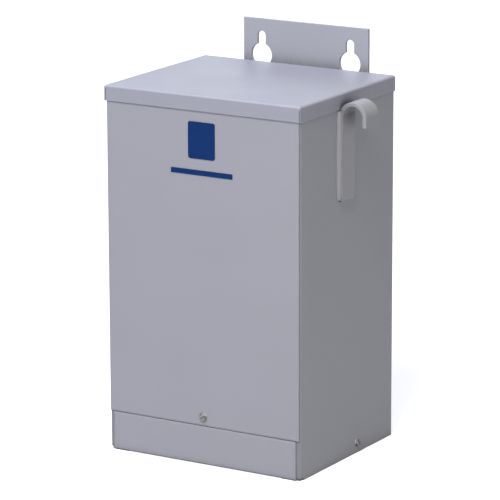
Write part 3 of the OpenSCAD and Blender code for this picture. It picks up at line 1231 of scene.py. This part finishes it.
def grown(
    name: str, tree: type[Group], mesh: Mesh, values: Mapping[str, Any]
) -> Object:
    """Let a geometry tree grow a piece from a seed mesh.

    Args:
        name: The piece's name.
        tree: The group whose tree grows it.
        mesh: Points or a line that it starts from.
        values: The tree's inputs by name.

    Returns:
        The piece with a plain mesh.
    """
    piece = object_of(name, mesh)
    modifier = piece.modifiers.new(tree.title, "NODES")
    modifier.node_group = tree.tree()
    for item in modifier.node_group.interface.items_tree:
        if item.item_type == "SOCKET" and item.in_out == "INPUT" and item.name in values:
            modifier[item.identifier] = values[item.name]
    return baked(piece)


def face_outwards(piece: Object) -> Object:
    """Merge a grown piece's doubles and turn its faces outwards.

    Args:
        piece: The object with a plain mesh.

    Returns:
        The same object.
    """
    bm = bmesh.new()
    bm.from_mesh(piece.data)
    bmesh.ops.remove_doubles(bm, verts=bm.verts, dist=SLIVER)
    bmesh.ops.dissolve_degenerate(bm, edges=bm.edges, dist=SLIVER)
    bmesh.ops.recalc_face_normals(bm, faces=bm.faces)
    bm.to_mesh(piece.data)
    bm.free()
    return piece


def seated_points(name: str, seats: Sequence[Vector], axis: Vector) -> Mesh:
    """Points with one axis, as a mesh.

    Args:
        name: The mesh's name.
        seats: Where the points are.
        axis: The way that all of them face.

    Returns:
        The new mesh.
    """
    mesh = bpy.data.meshes.new(name)
    mesh.from_pydata([tuple(p) for p in seats], [], [])
    attribute = mesh.attributes.new("axis", "FLOAT_VECTOR", "POINT")
    for item in attribute.data:
        item.vector = axis
    return mesh


@dataclass
class HookWelds(SubAssembly):
    """Painted fillet welds along both edges of each hook's strap."""

    bulge: float = 0.16
    sink: float = 0.25 * MM
    pitch: float = 1.9 * MM
    depth: float = 0.02
    seed: int = 3

    def build(self) -> list[Object]:
        """Build and dress both hooks' beads.

        Returns:
            The finished pieces.
        """
        made = []
        for side in Side:
            node = f"{side.word}_hook_weld"
            low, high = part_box(node)
            bar_low, bar_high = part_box(f"{side.word}_lifting_hook")
            thick = high.x - low.x
            reach = bar_low.y - low.y
            panel = min(abs(low.x), abs(high.x))
            line = bpy.data.meshes.new(node)
            ends = [(side.value * panel, bar_low.y, z) for z in (low.z, high.z)]
            line.from_pydata(ends, [(0, 1)], [])
            out = (0.5 + self.bulge) * thick
            values = {
                "Toe": (-side.value * self.sink, -reach, 0.0),
                "Crown": (side.value * out, -(0.5 + self.bulge) * reach, 0.0),
                "Crest": (side.value * thick, self.sink, 0.0),
                "Middle": (bar_low.y + bar_high.y) / 2,
                "Ripple Pitch": self.pitch,
                "Ripple Depth": self.depth,
                "Seed": self.seed + side.value,
                "Material": HOOK_COAT.material(),
            }
            bead = grown(f"{node}_bead", FilletBeads, line, values)
            made.append(settle(face_outwards(bead), HOOK_COAT, node))
        return made


@dataclass
class Fasteners(SubAssembly):
    """Every screw and bolt that shows."""

    seed: int = 5

    def fastener(self, node: str, axis: Vector, size: ScrewSize, count: int) -> Object:
        """Build the fasteners of one node.

        Args:
            node: The node they stand for.
            axis: The way their heads face.
            size: Their sizes.
            count: How many there are, one above the other.

        Returns:
            The finished piece.
        """
        low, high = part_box(node)
        head = size.hex_height + size.flange_height
        reach = max(axis, key=abs)
        index = list(axis).index(reach)
        tip = high[index] if reach > 0 else low[index]
        middle = (low + high) / 2
        middle[index] = tip - reach * head
        seats = [middle]
        if count == 2:
            across = size.hex_radius * math.cos(math.pi / 6)
            seats = [Vector((middle.x, middle.y, z)) for z in (low.z + across, high.z - across)]
        values = size.values() | {"Seed": self.seed, "Material": ZINC.material()}
        piece = grown(f"{node}_head", FlangedScrew, seated_points(node, seats, axis), values)
        return settle(face_outwards(piece), ZINC, node)

    def build(self) -> list[Object]:
        """Build and dress all fasteners.

        Returns:
            The finished pieces.
        """
        back = Vector((0, 1, 0))
        made = [self.fastener("front_cover_screw", Vector((0, -1, 0)), SCREW, 1)]
        for side in Side:
            out = Vector((side.value, 0, 0))
            made.append(self.fastener(f"{side.word}_side_screw", out, SCREW, 1))
            made.append(self.fastener(f"{side.word}_lid_screw", back, SCREW, 1))
            made.append(self.fastener(f"{side.word}_bracket_bolts", back, BOLT, 2))
            made.append(self.fastener(f"{side.word}_spacer_bolt", back, BOLT, 1))
        return made


@dataclass
class WallFixings(SheetWork):
    """The keyhole bracket and the spacer that hold the case off the wall."""

    edge_radius: float = 0.5 * MM

    def build(self) -> list[Object]:
        """Build and dress both brackets."""
        nodes = ("wall_bracket", "lower_wall_spacer")
        return [self.sheet(node, f"{node}_steel", BRACKET_COAT) for node in nodes]


@dataclass
class BlankBadge(SubAssembly):
    """A plain plate with a raised rim, and a plain bar under it."""

    corner: float = 2.5 * MM
    rim: float = 1.1 * MM
    bar_corner: float = 0.8 * MM
    bar_rim: float = 0.6 * MM
    dish: float = 0.22 * MM
    soft: float = 0.12 * MM
    least_corner: float = 0.05 * MM
    corner_steps: int = 8

    def plate(self, node: str, corner: float, rim: float) -> Object:
        """Build one plate on the cover.

        Args:
            node: The node it stands for.
            corner: Radius of its corners.
            rim: Width of its raised rim.

        Returns:
            The finished piece.
        """
        low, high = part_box(node)
        middle = (low + high) / 2
        width = high.x - low.x
        height = high.z - low.z
        steps = [
            (0.0, high.y),
            (0.0, low.y + self.soft),
            (self.soft * 0.3, low.y + self.soft * 0.3),
            (self.soft, low.y),
            (rim, low.y),
            (rim + self.dish, low.y + self.dish),
        ]
        rings = []
        for inset, y in steps:
            left = max(corner - inset, self.least_corner)
            shape = round_rectangle(width - 2 * inset, height - 2 * inset, left, self.corner_steps)
            rings.append([Vector((middle.x + u, y, middle.z + v)) for u, v in shape])
        piece = object_of(f"{node}_plate", sweep(node, rings))
        return settle(shaded_evenly(piece), BADGE, node)

    def build(self) -> list[Object]:
        """Build and dress the plate and the bar."""
        plate = self.plate("front_badge", self.corner, self.rim)
        return [plate, self.plate("front_badge_bar", self.bar_corner, self.bar_rim)]


@dataclass
class PottedCore(SubAssembly):
    """The core and coils in their cast block."""

    nodes: Nodes

    def build(self) -> list[Object]:
        """Dress the block as it is.

        Returns:
            The block, in a list.
        """
        node = self.nodes["encapsulated_core"]
        for place in node.material_slots:
            place.material = POTTING.material()
        return [node]


# ---- Studio ----


@dataclass(frozen=True)
class SoftBox:
    """One soft lamp."""

    name: str
    place: Point
    aim: Point
    width: float
    height: float
    power: float
    tint: tuple[float, float, float] = (1.0, 1.0, 1.0)

    def hang(self) -> None:
        """Put the lamp into the scene."""
        lamp = bpy.data.lights.new(self.name, "AREA")
        lamp.shape = "RECTANGLE"
        lamp.size = self.width
        lamp.size_y = self.height
        lamp.energy = self.power
        lamp.color = self.tint
        made = object_of(self.name, lamp)
        made.location = self.place
        look = Vector(self.aim) - Vector(self.place)
        made.rotation_euler = look.to_track_quat("-Z", "Y").to_euler()


@dataclass
class Studio:
    """Camera, lamps, white surroundings and a pale floor."""

    lens: float = 243.347
    turn: float = 31.169
    tilt: float = 13.770
    roll: float = -0.171
    eye: Point = (1.66815, -2.76757, 0.98667)
    floor_radius: float = 9.0
    floor_grey: float = 0.76
    floor_glow: float = 0.7
    ambient: float = 0.10
    lamps: Sequence[SoftBox] = field(
        default_factory=lambda: (
            SoftBox("front_box", (0.2, -1.9, 2.7), (0, 0, 0.2), 1.6, 1.6, 86.5, (1.01, 0.99, 1.01)),
            SoftBox("side_box", (2.8, -1.4, 0.5), (0, 0, 0.2), 1.4, 1.0, 13.8, (1.02, 0.99, 0.83)),
            SoftBox("top_box", (-1.9, 0.5, 2.4), (0, 0, 0.3), 1.6, 1.6, 23.0, (0.88, 0.94, 1.20)),
            SoftBox("back_box", (-1.2, 2.7, 1.5), (0, 0, 0.2), 1.8, 1.4, 7.5, (0.76, 0.87, 1.0)),
        )
    )

    def camera(self) -> None:
        """Set up the camera."""
        data = bpy.data.cameras.new("camera")
        data.lens = self.lens
        data.sensor_width = 36.0
        data.clip_start = 0.1
        data.clip_end = 60.0
        made = object_of("camera", data)
        stance = Matrix.Translation(self.eye)
        for angle, axis in ((self.turn, "Z"), (90 - self.tilt, "X"), (self.roll, "Z")):
            stance @= Matrix.Rotation(math.radians(angle), 4, axis)
        made.matrix_world = stance
        bpy.context.scene.camera = made

    def surroundings(self) -> None:
        """Make the world white where it is seen and softer where it lights."""
        world = bpy.data.worlds.new("studio")
        world.use_nodes = True
        world.node_tree.nodes.clear()
        bpy.context.scene.world = world
        w = Wiring(world.node_tree)
        rays = w.add("ShaderNodeLightPath").outputs
        seen = w.math("MAXIMUM", rays["Is Camera Ray"], rays["Is Glossy Ray"])
        seen = w.math("MAXIMUM", seen, rays["Is Transmission Ray"])
        shown = w.mix(seen, (*[self.ambient] * 3, 1.0), (1.0, 1.0, 1.0, 1.0))
        glow = w.add("ShaderNodeBackground", {"Color": shown, "Strength": 1.0})
        w.add("ShaderNodeOutputWorld", {"Surface": glow.outputs[0]})

    def floor(self) -> None:
        """Lay the floor, pale enough to show white and keep a soft shadow."""
        bm = bmesh.new()
        bmesh.ops.create_circle(bm, cap_ends=True, segments=96, radius=self.floor_radius)
        made = object_of("studio_floor", mesh_of("studio_floor", bm, outwards=False))
        material = bpy.data.materials.new("studio_floor")
        material.use_nodes = True
        material.node_tree.nodes.clear()
        w = Wiring(material.node_tree)
        matt = w.add("ShaderNodeBsdfDiffuse", {"Color": (*[self.floor_grey] * 3, 1.0)})
        glow = w.add("ShaderNodeEmission", {"Color": (1.0, 1.0, 1.0, 1.0)})
        rays = w.add("ShaderNodeLightPath").outputs["Is Camera Ray"]
        w.feed(glow.inputs["Strength"], w.product(rays, self.floor_glow))
        both = w.add("ShaderNodeAddShader", {0: matt.outputs[0], 1: glow.outputs[0]})
        w.add("ShaderNodeOutputMaterial", {"Surface": both.outputs[0]})
        made.data.materials.append(material)

    def build(self) -> None:
        """Set up the whole studio."""
        self.camera()
        self.surroundings()
        self.floor()
        for lamp in self.lamps:
            lamp.hang()
        bpy.context.scene.view_settings.view_transform = "Standard"


def main() -> None:
    """Build every sub-assembly in order and log each piece's face count."""
    logging.basicConfig(level=logging.INFO, format="%(message)s")
    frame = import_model()
    nodes = frame["nodes"]
    Studio().build()
    parts: Sequence[SubAssembly] = (
        SteelCase(nodes),
        Knockouts(nodes),
        FrontPlates(nodes),
        FoldedLid(nodes),
        LiftingHooks(),
        HookWelds(),
        WallFixings(nodes),
        Fasteners(),
        BlankBadge(),
        PottedCore(nodes),
    )
    for part in parts:
        for piece in part.build():
            log.info("%s: %s, %d faces", type(part).__name__, piece.name, len(piece.data.polygons))


if __name__ == "__main__":
    main()
